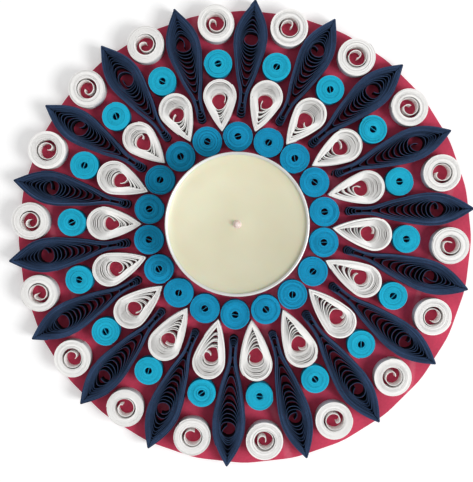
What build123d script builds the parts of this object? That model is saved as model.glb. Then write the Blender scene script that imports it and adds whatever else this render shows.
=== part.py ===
from build123d import *
import os
from math import asin, cos, degrees, radians, sin, sqrt

# A candle holder of quilled paper: rows of wound strips, glued on edge to a card disc round a tealight.
# Lengths are in millimetres and angles in degrees, and +Y is the top of the piece as it is laid out.
# The origin is the middle of the disc's underside.

# Card and paper strips
card_thickness = 1.6
disc_sides = 28  # the disc was cut out by hand, in short straight snips
disc_corner_radius = 25.0
strip_width = 5.0  # the strips stand on edge, so this is the height of every wound piece
turn_thickness = 0.32  # one loose turn, drawn as thick as two strips pressed together
turn_gap = 0.2  # between loose turns where they lie closest
steps_per_turn = 10

# Tealight
cup_diameter = 38.0
cup_height = 16.0
cup_wall = 0.35
cup_foot_bevel = 1.2
lip_width = 0.8
lip_bevel = 0.25
wax_below_lip = 1.2
wax_rise = 0.5  # how high the wax climbs the cup's wall
wax_rise_width = 2.5
wax_hollow = 0.3  # how much lower than its edge the wax lies round the wick
wick_diameter = 1.5
wick_height = 2.6  # above the bottom of the hollow
wick_foot_diameter = 12.0
wick_foot_thickness = 0.5
wick_collar_diameter = 3.0
wick_collar_height = 2.5

# Layout: every row of pieces lies on a straight line that passes the middle at a small distance
pieces_per_ring = 18
row_angle = 4.84
row_offset = 1.8
ring_centre = (-2.2, 3.5)  # where the innermost ring lies on the disc
ring_drift = (0.03, -0.064)  # how much further off a ring lies for each millimetre of its radius
candle_gap = 1.1  # free gap between the cup and the ring of coils
candle_slide = (0.2, 0.5)  # where the loose cup stands within that gap

# Gaps between neighbours on the disc
coil_gap = 0.16
point_gap = 0.56
touch_gap = 0.1
side_gap = 0.34
shoulder_gap = 0.87
tail_gap = 1.5
rim_gap = 2.6
tip_overhang = 1.15  # how far the leaves' tips reach past the disc's edge

# Tight coils, wound on a slotted tool that leaves a bore with the strip's end across it
bore_diameter = 1.9
bar_thickness = 0.26
outer_coil_diameter = 7.8
bar_turn = 137.5  # each coil was glued down as it fell, so its bar points another way

# Teardrops
drop_length = 15.7
drop_flank_radius = 28.0
drop_band = 1.2
drop_eye_diameter = 3.9
drop_eye_shift = 1.6  # from the middle of the round end toward the point
drop_start_angle = 60.0

# Rim coils
rim_coil_diameter = 10.4
rim_hole_diameter = 5.4
rim_eye_diameter = 3.2

# Leaves
leaf_overhang = 6.55  # from the middle of the rim coils out to the leaf's tip
leaf_width = 9.5
leaf_tail_width = 2.2
leaf_waist_width = 2.75
leaf_flare_width = 5.4  # midway between its waist and the tight coils
leaf_tip_angle = 38.0
leaf_flare_angle = 18.0  # where the hollow opens out of the closed tail
leaf_band = 1.3
leaf_tail_band = 7.5
leaf_tip_band = 2.0
leaf_eye_diameter = 2.9
leaf_eye_shift = 1.6  # from the belly toward the tip
leaf_belly_to_tip = 12.3
leaf_start_angle = -30.0

# Rings, from the tealight outwards
half_step = 180 / pieces_per_ring
half_pitch = sin(radians(half_step))  # half the room of one piece in a ring, for each millimetre of radius
inner_ring_radius = (cup_diameter / 2 + candle_gap - coil_gap / 2) / (1 - half_pitch)
inner_coil_radius = inner_ring_radius * half_pitch - coil_gap / 2
valley_height = sqrt((inner_coil_radius + point_gap) ** 2 - (inner_ring_radius * half_pitch) ** 2)
drop_point_radius = inner_ring_radius * cos(radians(half_step)) + valley_height
outer_coil_radius = outer_coil_diameter / 2
outer_ring_radius = drop_point_radius + drop_length + touch_gap + outer_coil_radius
rim_coil_radius = rim_coil_diameter / 2
rim_ring_radius = outer_ring_radius + outer_coil_radius + rim_gap + rim_coil_radius
leaf_tail_radius = inner_ring_radius + inner_coil_radius + tail_gap
leaf_tip_radius = rim_ring_radius + leaf_overhang
disc_radius = leaf_tip_radius - tip_overhang

# Teardrops swell until they lie against the waists of the leaves between them
drop_end_radius = drop_point_radius + drop_length
drop_width = (2 * (drop_end_radius * half_pitch - side_gap) - leaf_waist_width) / (1 + half_pitch)
waist_radius = drop_end_radius - drop_width / 2

# A leaf opens from its waist, fits between two tight coils, and then between two rim coils
flare_radius = (waist_radius + outer_ring_radius) / 2
leaf_pinch_width = 2 * (outer_ring_radius * half_pitch - side_gap) - outer_coil_diameter
leaf_shoulder_width = 2 * (rim_ring_radius * half_pitch - shoulder_gap) - rim_coil_diameter

disc_top = Plane.XY.offset(card_thickness)


def heading(angle):
    """Direction at this angle from the X axis."""
    return Vector(1, 0).rotate(Axis.Z, angle)


def spot(radius, slot):
    """Place on the disc of slot's row at this radius; whole slots are leaf rows, half slots drop rows."""
    angle = row_angle + 2 * half_step * slot + degrees(asin(row_offset / radius))
    centre = Vector(*ring_centre) + Vector(*ring_drift) * (radius - inner_ring_radius)
    return centre + heading(angle) * radius


def row_plane(start, toward):
    """Plane on the disc's top with its origin at start and its X axis pointing toward the other place."""
    return Plane(origin=start + Vector(0, 0, card_thickness), x_dir=toward - start, z_dir=(0, 0, 1))


def drop_outline(length):
    """Outline of a teardrop along the X axis: two flanks from its point that run on into its round end."""
    end_radius = drop_width / 2
    to_end = length - end_radius
    along = (to_end**2 + drop_flank_radius**2 - (drop_flank_radius - end_radius) ** 2) / (2 * to_end)
    flank_centre = Vector(along, -sqrt(drop_flank_radius**2 - along**2))
    shoulder = flank_centre + (Vector(to_end, 0) - flank_centre).normalized() * drop_flank_radius
    with BuildLine() as outline:
        flank = RadiusArc((0, 0), shoulder, drop_flank_radius)
        other_flank = mirror(flank, about=Plane.XZ)
        ThreePointArc(flank @ 1, (length, 0), other_flank @ 1)
    return outline.line


def leaf_side(length, inset):
    """Points of a leaf's side: where it flares, passes the outer coils, bellies and passes the rim coils."""
    stretch = length / (leaf_tip_radius - leaf_tail_radius)
    flare = ((flare_radius - leaf_tail_radius) * stretch, leaf_flare_width / 2 - inset)
    pinch = ((outer_ring_radius - leaf_tail_radius) * stretch, leaf_pinch_width / 2 - inset)
    belly = (length - leaf_belly_to_tip, leaf_width / 2 - inset)
    shoulder = ((rim_ring_radius - leaf_tail_radius) * stretch, leaf_shoulder_width / 2 - inset)
    return [flare, pinch, belly, shoulder]


def leaf_outline(length):
    """Outline of a leaf along the X axis, from its round tail at the origin to its pointed tip."""
    waist_share = (waist_radius - leaf_tail_radius) / (leaf_tip_radius - leaf_tail_radius)
    tail = (leaf_tail_width / 2, leaf_tail_width / 2)
    waist = (waist_share * length, leaf_waist_width / 2)
    ends = [heading(0), heading(-leaf_tip_angle)]
    with BuildLine() as outline:
        side = Spline(tail, waist, *leaf_side(length, 0), (length, 0), tangents=ends)
        other_side = mirror(side, about=Plane.XZ)
        ThreePointArc(side @ 0, (0, 0), other_side @ 0)
    return outline.line


def leaf_hollow(length):
    """Outline of the hollow inside a leaf's pressed band, pointed at both ends."""
    root = (leaf_tail_band, 0)
    ends = [heading(leaf_flare_angle), heading(-leaf_tip_angle)]
    with BuildLine() as outline:
        side = Spline(root, *leaf_side(length, leaf_band), (length - leaf_tip_band, 0), tangents=ends)
        mirror(side, about=Plane.XZ)
    return outline.line


def loose_turns(eye, eye_radius, lining, start_angle):
    """Centre line of a strip that winds out from a round eye and takes on the lining's shape."""
    step_angle = 360 / steps_per_turn
    beyond = lining.bounding_box().diagonal
    rays = [heading(start_angle + step_angle * step) for step in range(steps_per_turn)]
    reaches = [Edge.make_line(eye, eye + ray * beyond).intersect(lining)[0].length for ray in rays]
    rooms = [reach - turn_gap - turn_thickness / 2 - eye_radius for reach in reaches]
    steps = round(min(rooms) / (turn_thickness + turn_gap) * steps_per_turn)
    points = [eye + rays[1] * eye_radius / 2]  # the strip's inner end, bent into the eye
    for step in range(steps + 1):
        spoke = step % steps_per_turn
        points.append(eye + rays[spoke] * (eye_radius + rooms[spoke] * step / steps))
    spoke = (steps + 1) % steps_per_turn
    points.append(eye + rays[spoke] * (reaches[spoke] + turn_thickness / 2))  # its outer end, in the lining
    with BuildLine() as winding:
        Polyline(*points)
    return winding.line


os.makedirs("parts", exist_ok=True)

# Card disc, cut by hand
with BuildPart() as base_disc:
    with BuildSketch():
        RegularPolygon(disc_radius, disc_sides)
        fillet(vertices(), disc_corner_radius)
    extrude(amount=card_thickness)
base_disc.part.label = "base_disc"
export_step(base_disc.part, "parts/base_disc.step")

# Tealight: a drawn metal cup with a rolled lip, its wax, and the wick on its crimped foot
candle_place = Vector(*ring_centre) + Vector(*candle_slide)
candle_axis = Axis((candle_place.X, candle_place.Y, card_thickness), (0, 0, 1))
candle_plane = Plane(origin=candle_axis.position, x_dir=(1, 0, 0), z_dir=(0, -1, 0))
cup_radius = cup_diameter / 2
wall_radius = cup_radius - lip_width
wax_radius = wall_radius - cup_wall
wax_edge = cup_height - wax_below_lip - wax_rise
wax_dip = wax_edge - wax_hollow
with BuildPart() as tealight_cup:
    with BuildSketch(candle_plane):
        with BuildLine():
            Polyline(
                (0, 0),
                (wall_radius - cup_foot_bevel, 0),
                (wall_radius, cup_foot_bevel),
                (wall_radius, cup_height - lip_width),
                (cup_radius - lip_bevel, cup_height - lip_width),
                (cup_radius, cup_height - lip_width + lip_bevel),
                (cup_radius, cup_height - lip_bevel),
                (cup_radius - lip_bevel, cup_height),
                (wax_radius, cup_height),
                (wax_radius, cup_foot_bevel),
                (wax_radius - cup_foot_bevel + cup_wall, cup_wall),
                (0, cup_wall),
                close=True,
            )
        make_face()
    revolve(axis=candle_axis)
tealight_cup.part.label = "tealight_cup"
export_step(tealight_cup.part, "parts/tealight_cup.step")

with BuildPart() as tealight_wick:
    with BuildSketch(candle_plane):
        with BuildLine():
            Polyline(
                (0, cup_wall),
                (wick_foot_diameter / 2, cup_wall),
                (wick_foot_diameter / 2, cup_wall + wick_foot_thickness),
                (wick_collar_diameter / 2, cup_wall + wick_foot_thickness),
                (wick_collar_diameter / 2, cup_wall + wick_collar_height),
                (wick_diameter / 2, cup_wall + wick_collar_height),
                (wick_diameter / 2, wax_dip + wick_height),
                (0, wax_dip + wick_height),
                close=True,
            )
        make_face()
    revolve(axis=candle_axis)
    chamfer(edges().filter_by(GeomType.CIRCLE).sort_by(Axis.Z)[-1], wick_diameter / 5)
tealight_wick.part.label = "tealight_wick"
export_step(tealight_wick.part, "parts/tealight_wick.step")

with BuildPart() as tealight_wax:
    with BuildSketch(candle_plane):
        with BuildLine():
            Polyline(
                (0, cup_wall),
                (wax_radius - cup_foot_bevel + cup_wall, cup_wall),
                (wax_radius, cup_foot_bevel),
                (wax_radius, wax_edge + wax_rise),
                (wax_radius - wax_rise_width, wax_edge),
                (0, wax_dip),
                close=True,
            )
        make_face()
    revolve(axis=candle_axis)
    add(tealight_wick.part, mode=Mode.SUBTRACT)
tealight_wax.part.label = "tealight_wax"
export_step(tealight_wax.part, "parts/tealight_wax.step")

# Tight blue coils: one ring against the tealight, and one against the round ends of the teardrops
coil_rings = {
    "inner_blue_coils": (inner_ring_radius, inner_coil_radius, 0),
    "outer_blue_coils": (outer_ring_radius, outer_coil_radius, 0.5),
}
for name, (ring_radius, coil_radius, first_slot) in coil_rings.items():
    with BuildPart() as blue_coils:
        with BuildSketch(disc_top):
            for number in range(pieces_per_ring):
                with Locations(spot(ring_radius, first_slot + number)):
                    Circle(coil_radius)
                    Circle(bore_diameter / 2, mode=Mode.SUBTRACT)
                    Rectangle(bore_diameter, bar_thickness, rotation=bar_turn * number)
        extrude(amount=strip_width)
    blue_coils.part.label = name
    export_step(blue_coils.part, f"parts/{name}.step")

for number in range(pieces_per_ring):
    # White teardrop: its point in the valley of two inner coils, its round end against an outer coil
    point = spot(drop_point_radius, number + 0.5)
    stop = spot(outer_ring_radius, number + 0.5)
    length = (stop - point).length - outer_coil_radius - touch_gap
    drop_eye = Vector(length - drop_width / 2 - drop_eye_shift, 0)
    with BuildPart() as white_teardrop:
        with BuildSketch(row_plane(point, stop)):
            outline = make_face(drop_outline(length))
            lining = offset(outline, amount=-drop_band, kind=Kind.INTERSECTION, mode=Mode.SUBTRACT)
            turns = loose_turns(drop_eye, drop_eye_diameter / 2, lining, drop_start_angle)
            trace(turns, turn_thickness)
        extrude(amount=strip_width)
    white_teardrop.part.label = f"white_teardrop_{number + 1:02d}"
    export_step(white_teardrop.part, f"parts/{white_teardrop.part.label}.step")

    # White rim coil: tight turns outside, and a loose end curled in its hole
    centre = spot(rim_ring_radius, number + 0.5)
    with BuildPart() as white_rim_coil:
        with BuildSketch(row_plane(centre, centre + heading(bar_turn * number))):
            Circle(rim_coil_diameter / 2)
            lining = Circle(rim_hole_diameter / 2, mode=Mode.SUBTRACT)
            turns = loose_turns(Vector(0, 0), rim_eye_diameter / 2, lining, 0)
            trace(turns, turn_thickness)
        extrude(amount=strip_width)
    white_rim_coil.part.label = f"white_rim_coil_{number + 1:02d}"
    export_step(white_rim_coil.part, f"parts/{white_rim_coil.part.label}.step")

    # Navy leaf: its tail between two teardrops, its belly between two rim coils
    tail = spot(leaf_tail_radius, number)
    tip = spot(leaf_tip_radius, number)
    length = (tip - tail).length
    leaf_eye = Vector(length - leaf_belly_to_tip + leaf_eye_shift, 0)
    with BuildPart() as navy_leaf:
        with BuildSketch(row_plane(tail, tip)):
            make_face(leaf_outline(length))
            lining = make_face(leaf_hollow(length), mode=Mode.SUBTRACT)
            turns = loose_turns(leaf_eye, leaf_eye_diameter / 2, lining, leaf_start_angle)
            trace(turns, turn_thickness)
        extrude(amount=strip_width)
    navy_leaf.part.label = f"navy_leaf_{number + 1:02d}"
    export_step(navy_leaf.part, f"parts/{navy_leaf.part.label}.step")
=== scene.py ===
"""Looks of a candle holder made of quilled paper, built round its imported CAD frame.

Every quilled piece is a long strip of paper that stands on its edge and is wound outward from a bent inner
end. Lengths are in metres, in the CAD's own frame: +Z is up, and +Y is the piece's top as it is laid out.
"""
import logging
import math
import random
from abc import ABC, abstractmethod
from dataclasses import dataclass, field
from enum import IntEnum

import bpy
import numpy as np
from bpy.types import Material, Node, NodeSocket, Object
from mathutils import Matrix, Vector


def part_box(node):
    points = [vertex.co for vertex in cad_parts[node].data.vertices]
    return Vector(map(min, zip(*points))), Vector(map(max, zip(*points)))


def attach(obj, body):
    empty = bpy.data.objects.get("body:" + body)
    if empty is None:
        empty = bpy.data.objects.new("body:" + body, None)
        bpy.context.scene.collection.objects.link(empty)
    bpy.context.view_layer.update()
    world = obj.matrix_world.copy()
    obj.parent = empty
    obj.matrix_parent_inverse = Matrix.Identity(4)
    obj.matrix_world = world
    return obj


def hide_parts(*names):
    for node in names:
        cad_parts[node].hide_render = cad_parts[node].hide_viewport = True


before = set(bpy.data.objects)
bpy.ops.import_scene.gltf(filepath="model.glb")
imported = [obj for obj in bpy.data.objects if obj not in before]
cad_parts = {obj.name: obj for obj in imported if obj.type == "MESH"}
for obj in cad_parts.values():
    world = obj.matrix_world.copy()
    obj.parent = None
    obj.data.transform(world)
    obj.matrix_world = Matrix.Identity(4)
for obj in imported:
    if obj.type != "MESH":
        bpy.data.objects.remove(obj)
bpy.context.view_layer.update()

log = logging.getLogger("quilled_holder")

MM = 0.001
TURN = 2 * math.pi
BODY = "root"
PATTERN_TURNS = 60  # how far apart two wound pieces' stretches of the paper's pattern lie
ON_AXIS = 1e-6  # with a smaller sine, a place is on a piece's axis
Colour = tuple[int, int, int]  # red, green and blue as on a screen, 0 to 255
Tint = tuple[float, float, float, float]  # a colour as a shader takes it, opaque
Triple = tuple[float, float, float]
Inputs = dict[str | int, object]  # a node's sockets, by name or number, with what each is given


# Finishes


def linear(screen: Colour) -> Tint:
    """Turn a colour as it looks on a screen into the linear colour that a shader takes.

    Args:
        screen: red, green and blue, 0 to 255.

    Returns:
        The linear colour, opaque.
    """
    levels = [channel / 255 for channel in screen]
    # The sRGB curve: a straight foot, and a power above it
    bent = [level / 12.92 if level < 0.04 else ((level + 0.055) / 1.055) ** 2.4 for level in levels]
    return (*bent, 1.0)


class NodeSheet:
    """A material's node tree, with short ways to add nodes and join them."""

    def __init__(self, name: str) -> None:
        """Start a material whose only shader is a principled surface.

        Args:
            name: the material's name.
        """
        self.material = bpy.data.materials.new(name)
        self.material.use_nodes = True
        self.tree = self.material.node_tree
        self.surface = self.tree.nodes["Principled BSDF"]
        self.output = self.tree.nodes["Material Output"]

    def feed(self, node: Node, inputs: Inputs) -> None:
        """Set or link sockets of a node.

        Args:
            node: the node to change.
            inputs: socket names or numbers with a value or the output socket that feeds them.
        """
        for socket, value in inputs.items():
            if isinstance(value, NodeSocket):
                self.tree.links.new(value, node.inputs[socket])
            else:
                node.inputs[socket].default_value = value

    def add(self, kind: str, inputs: Inputs | None = None, **settings: object) -> Node:
        """Add a node.

        Args:
            kind: the node's type, without its ShaderNode prefix.
            inputs: socket names or numbers with a value or the output socket that feeds them.
            settings: attributes to set on the node.

        Returns:
            The new node.
        """
        node = self.tree.nodes.new("ShaderNode" + kind)
        for setting, value in settings.items():
            setattr(node, setting, value)
        self.feed(node, inputs or {})
        return node

    def place(self) -> NodeSocket:
        """Return the Object coordinates, which the patterns are drawn in."""
        return self.add("TexCoord").outputs["Object"]

    def noise(self, scale: float, detail: float, stretch: Triple = (1, 1, 1)) -> NodeSocket:
        """Add a noise pattern.

        Args:
            scale: features in a metre.
            detail: octaves of finer noise.
            stretch: how much denser the pattern is along each axis.

        Returns:
            The socket of the noise's value, around 0.5.
        """
        mapping = self.add("Mapping", {"Vector": self.place(), "Scale": stretch})
        inputs = {"Vector": mapping.outputs["Vector"], "Scale": scale, "Detail": detail}
        return self.add("TexNoise", inputs).outputs["Fac"]

    def turn_noise(self, scale: float, detail: float) -> NodeSocket:
        """Add noise that runs along a strip, so that one turn of a coil differs from the next.

        Args:
            scale: features in a turn.
            detail: octaves of finer noise.

        Returns:
            The socket of the noise's value, around 0.5.
        """
        split = self.add("SeparateXYZ", {"Vector": self.add("UVMap").outputs["UV"]})
        inputs = {"W": split.outputs["X"], "Scale": scale, "Detail": detail}
        return self.add("TexNoise", inputs, noise_dimensions="1D").outputs["Fac"]

    def ramp(self, value: NodeSocket, start: float, end: float, to_start: float, to_end: float) -> NodeSocket:
        """Map a value from one range to another, held at both ends, and return the result's socket."""
        limits = {"Value": value, "From Min": start, "From Max": end, "To Min": to_start, "To Max": to_end}
        return self.add("MapRange", limits).outputs["Result"]

    def vary(self, pattern: NodeSocket, reach: float, amount: float) -> NodeSocket:
        """Turn a pattern's values, up to this reach from 0.5, into a factor up to this amount from 1."""
        return self.ramp(pattern, 0.5 - reach, 0.5 + reach, 1 - amount, 1 + amount)

    def blend(self, factor: NodeSocket, first: Tint | NodeSocket, second: Tint | NodeSocket) -> NodeSocket:
        """Mix two colours.

        Args:
            factor: the socket of a value that is 0 for the first colour and 1 for the second.
            first: a colour or a socket.
            second: a colour or a socket.

        Returns:
            The mixed colour's socket.
        """
        node = self.add("Mix", data_type="RGBA")
        self.feed(node, {0: factor, 6: first, 7: second})
        return node.outputs[2]

    def shade(self, colour: NodeSocket, *factors: NodeSocket) -> NodeSocket:
        """Lighten or darken a colour.

        Args:
            colour: a colour's socket.
            factors: sockets of what it is multiplied by.

        Returns:
            The shaded colour's socket.
        """
        for factor in factors:
            node = self.add("VectorMath", {"Vector": colour}, operation="SCALE")
            self.feed(node, {"Scale": factor})
            colour = node.outputs["Vector"]
        return colour

    def facing_up(self) -> NodeSocket:
        """Tell surfaces that face up, such as a strip's cut edge, from walls.

        Returns:
            The socket of a value that is 1 where the surface faces up and 0 on a wall.
        """
        normal = self.add("NewGeometry").outputs["True Normal"]
        split = self.add("SeparateXYZ", {"Vector": normal})
        # The normal's upward part, which is 0 on an upright wall and 1 on a level top
        return self.ramp(split.outputs["Z"], 0.3, 0.8, 0, 1)

    def bump(self, height: NodeSocket, depth: float) -> None:
        """Give the surface a bump from a pattern's socket, this deep between the pattern's 0 and 1."""
        node = self.add("Bump", {"Height": height, "Distance": depth})
        self.feed(self.surface, {"Normal": node.outputs["Normal"]})


@dataclass(frozen=True)
class PaperFinish:
    """Quilling paper, matt and dyed, with separate colours for its walls and its cut edges: painted shade
    darkens the walls of navy and blue paper, and painted light brightens those of white paper.

    Attributes:
        slot: the name of the material.
        face: colour of the strip's two faces, its walls, which holds painted shade on navy and blue paper and
            painted light on white paper.
        edge: colour of its cut edges.
        ring: how much one turn's edge is lighter or darker than the next one's.
        mottle: how much the fibres lighten and darken it.
    """

    slot: str
    face: Colour
    edge: Colour
    ring: float
    mottle: float

    def material(self) -> Material:
        """Make the paper's material.

        Returns:
            The new material.
        """
        sheet = NodeSheet(self.slot)
        rings = sheet.vary(sheet.turn_noise(1.1, 2), 0.18, self.ring)
        patches = sheet.vary(sheet.noise(220, 2), 0.2, self.mottle)
        fibres = sheet.noise(2400, 4)
        flecks = sheet.vary(fibres, 0.17, self.mottle)
        # Painted shade and light: the walls take the face colour, and the cut edges, which face up, the edge
        # colour
        colour = sheet.blend(sheet.facing_up(), linear(self.face), linear(self.edge))
        sheet.feed(sheet.surface, {"Base Color": sheet.shade(colour, rings, patches, flecks)})
        sheet.feed(sheet.surface, {"Roughness": 0.85, "Specular IOR Level": 0.2})
        sheet.bump(fibres, 0.02 * MM)
        return sheet.material


@dataclass(frozen=True)
class CardFinish:
    """Matt crimson card, with faint creases from handling that carry a painted highlight, and a layered cut
    edge.

    Attributes:
        slot: the name of the material.
        face: the card's colour.
        crease: colour of the painted highlight along a crease.
        core: colour of the cut edge's layers.
        mottle: how much the fibres and a broad cloud lighten and darken it.
    """

    slot: str = "crimson_card"
    face: Colour = (197, 58, 88)
    crease: Colour = (224, 122, 142)
    core: Colour = (168, 52, 76)
    mottle: float = 0.07

    def material(self) -> Material:
        """Make the card's material.

        Returns:
            The new material.
        """
        sheet = NodeSheet(self.slot)
        fibres = sheet.noise(1500, 5)
        flecks = sheet.vary(fibres, 0.2, self.mottle)
        cloud = sheet.vary(sheet.noise(45, 4), 0.2, self.mottle)
        folds = sheet.add("TexWave", {"Scale": 9.0, "Distortion": 6.0, "Detail": 2.0, "Detail Scale": 1.4})
        sheet.feed(folds, {"Vector": sheet.place()})
        # Only the very crests of the wave are creases, which are painted lighter as a highlight
        crease = sheet.ramp(folds.outputs["Fac"], 0.985, 1.0, 0.0, 0.35)
        # Painted highlight: the card is lightened toward the crease colour along the creases
        face = sheet.blend(crease, linear(self.face), linear(self.crease))
        layers = sheet.ramp(sheet.noise(300, 2, stretch=(1, 1, 22)), 0.35, 0.65, 0.85, 1.1)
        cut = sheet.add("VectorMath", {"Vector": linear(self.core)[:3], "Scale": layers}, operation="SCALE")
        colour = sheet.blend(sheet.facing_up(), cut.outputs["Vector"], face)
        sheet.feed(sheet.surface, {"Base Color": sheet.shade(colour, flecks, cloud)})
        sheet.feed(sheet.surface, {"Roughness": 0.7, "Specular IOR Level": 0.3})
        sheet.bump(fibres, 0.03 * MM)
        return sheet.material


@dataclass(frozen=True)
class MetalFinish:
    """Thin drawn aluminium, brushed round by the tool that drew it.

    Attributes:
        slot: the name of the material.
        colour: the metal.
    """

    slot: str = "cup_metal"
    colour: Colour = (240, 240, 237)

    def material(self) -> Material:
        """Make the metal's material.

        Returns:
            The new material.
        """
        sheet = NodeSheet(self.slot)
        brushing = sheet.noise(300, 3, stretch=(1, 1, 14))
        sheet.feed(sheet.surface, {"Base Color": linear(self.colour), "Metallic": 0.7})
        sheet.feed(sheet.surface, {"Roughness": sheet.ramp(brushing, 0.3, 0.7, 0.35, 0.5)})
        sheet.bump(brushing, 0.01 * MM)
        return sheet.material


@dataclass(frozen=True)
class WaxFinish:
    """Cast candle wax: satin, a little see-through, with a faint cloud in it, and painted light and shade
    across it.

    Attributes:
        slot: the name of the material.
        colour: the wax.
        cloud: its colour in the cloud.
        glow_reach: how far light goes on inside it.
        lit_side: the direction toward which the painted light is brightest.
        half_width: half the width that the painted light and shade change over.
        painted_shade_and_light: what the colour is multiplied by on the painted-shade side and on the lit
            side.
    """

    slot: str = "candle_wax"
    colour: Colour = (231, 227, 199)
    cloud: Colour = (226, 220, 190)
    glow_reach: float = 1.2 * MM
    lit_side: Triple = (-0.6, 0.8, 0.0)
    half_width: float = 17 * MM
    painted_shade_and_light: tuple[float, float] = (0.78, 1.05)

    def material(self) -> Material:
        """Make the wax's material.

        Returns:
            The new material.
        """
        sheet = NodeSheet(self.slot)
        cloud = sheet.ramp(sheet.noise(60, 2), 0.35, 0.65, 0, 1)
        # Painted light and shade: the wax is darkened toward one side and lightened toward the other
        across = sheet.add("VectorMath", {0: sheet.place(), 1: self.lit_side}, operation="DOT_PRODUCT")
        painted_shade_factor = sheet.ramp(across.outputs["Value"], -self.half_width, self.half_width, *self.painted_shade_and_light)
        colour = sheet.blend(cloud, linear(self.colour), linear(self.cloud))
        sheet.feed(sheet.surface, {"Base Color": sheet.shade(colour, painted_shade_factor)})
        sheet.feed(sheet.surface, {"Roughness": 0.34, "IOR": 1.44})
        sheet.feed(sheet.surface, {"Subsurface Weight": 0.3, "Subsurface Scale": self.glow_reach})
        sheet.bump(sheet.noise(150, 2), 0.04 * MM)
        return sheet.material


@dataclass(frozen=True)
class CottonFinish:
    """Braided cotton, stiff with wax.

    Attributes:
        slot: the name of the material.
        light: colour of its threads.
        dark: colour between them.
    """

    slot: str = "cotton_wick"
    light: Colour = (250, 238, 230)
    dark: Colour = (238, 206, 200)

    def material(self) -> Material:
        """Make the wick's material.

        Returns:
            The new material.
        """
        sheet = NodeSheet(self.slot)
        threads = sheet.ramp(sheet.noise(1700, 2), 0.35, 0.65, 0, 1)
        sheet.feed(sheet.surface, {"Base Color": sheet.blend(threads, linear(self.dark), linear(self.light))})
        sheet.feed(sheet.surface, {"Roughness": 0.4})
        sheet.bump(threads, 0.06 * MM)
        return sheet.material


# The face colours are painted: darker than the edges on navy and blue paper as shade, lighter on white paper
# as light
WHITE_PAPER = PaperFinish(
    "white_paper", face=(254, 252, 250), edge=(249, 248, 246), ring=0.02, mottle=0.01
)
NAVY_PAPER = PaperFinish(
    "navy_paper", face=(8, 17, 34), edge=(50, 70, 102), ring=0.3, mottle=0.12
)
DEEP_BLUE_PAPER = PaperFinish(
    "deep_blue_paper", face=(12, 108, 150), edge=(21, 152, 199), ring=0.07, mottle=0.05
)
BRIGHT_BLUE_PAPER = PaperFinish(
    "bright_blue_paper", face=(20, 148, 187), edge=(30, 179, 213), ring=0.06, mottle=0.04
)


# Modelling


def only(piece: Object) -> None:
    """Select one object and nothing else.

    Args:
        piece: the object, which also becomes the active one.
    """
    bpy.ops.object.select_all(action="DESELECT")
    piece.select_set(True)
    bpy.context.view_layer.objects.active = piece


def coat(piece: Object, paint: Material) -> None:
    """Make a material the only one on a piece."""
    piece.data.materials.clear()
    piece.data.materials.append(paint)


def finish(piece: Object, paint: Material, smooth_angle: float) -> None:
    """Give a piece its material and smooth its gentle bends.

    Args:
        piece: the piece to finish.
        paint: its material.
        smooth_angle: bends under this many degrees are smoothed.
    """
    coat(piece, paint)
    only(piece)
    bpy.ops.object.shade_smooth_by_angle(angle=math.radians(smooth_angle))


def adopt(piece: Object, node: str) -> None:
    """Tie a finished piece to the frame.

    Args:
        piece: the finished piece.
        node: the CAD node that it stands for.
    """
    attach(piece, BODY)
    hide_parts(node)
    corners = np.array(piece.bound_box)
    gap = np.abs(np.array([corners.min(axis=0), corners.max(axis=0)]) - np.array(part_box(node))).max()
    log.info("%s for %s: %d faces, within %.2f mm", piece.name, node, len(piece.data.polygons), gap / MM)


def lay_strip(
    name: str, line: list[Vector], tops: list[float], turns: list[float], thickness: float
) -> Object:
    """Stand a strip of paper on its edge along a line.

    A flat grid is the strip as it was cut. It is carried to its line, and a Solidify modifier gives it the
    paper's thickness. Its UV map counts the turns, so that the paper's pattern follows the strip.

    Args:
        name: the strip's name.
        line: points of its bottom edge.
        tops: height of its top edge above each point.
        turns: turns wound at each point.
        thickness: the paper's thickness.

    Returns:
        The strip, closed all round.
    """
    steps = len(line) - 1
    bpy.ops.object.select_all(action="DESELECT")
    bpy.ops.mesh.primitive_grid_add(x_subdivisions=steps, y_subdivisions=1, size=2)
    strip = bpy.context.object
    strip.name = strip.data.name = name
    cut = np.empty(len(strip.data.vertices) * 3)
    strip.data.vertices.foreach_get("co", cut)
    cut = cut.reshape(-1, 3)
    along = np.rint((cut[:, 0] + 1) / 2 * steps).astype(int)
    upper = cut[:, 1] > 0
    wound = np.array(line)[along]
    wound[:, 2] += np.where(upper, np.array(tops)[along], 0)
    strip.data.vertices.foreach_set("co", wound.ravel())
    corner_vertices = np.empty(len(strip.data.loops), int)
    strip.data.loops.foreach_get("vertex_index", corner_vertices)
    counted = np.stack([np.array(turns)[along], upper], axis=1)[corner_vertices]
    strip.data.uv_layers[0].data.foreach_set("uv", counted.ravel())
    paper = strip.modifiers.new("paper", "SOLIDIFY")
    paper.thickness = thickness
    paper.offset = 0
    bpy.ops.object.modifier_apply(modifier=paper.name)
    return strip


def join(name: str, parts: list[Object]) -> Object:
    """Join objects into one.

    Args:
        name: the name of the joined object.
        parts: the objects, of which the first is kept.

    Returns:
        The joined object.
    """
    only(parts[0])
    for part in parts:
        part.select_set(True)
    bpy.ops.object.join()
    parts[0].name = parts[0].data.name = name
    return parts[0]


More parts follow.
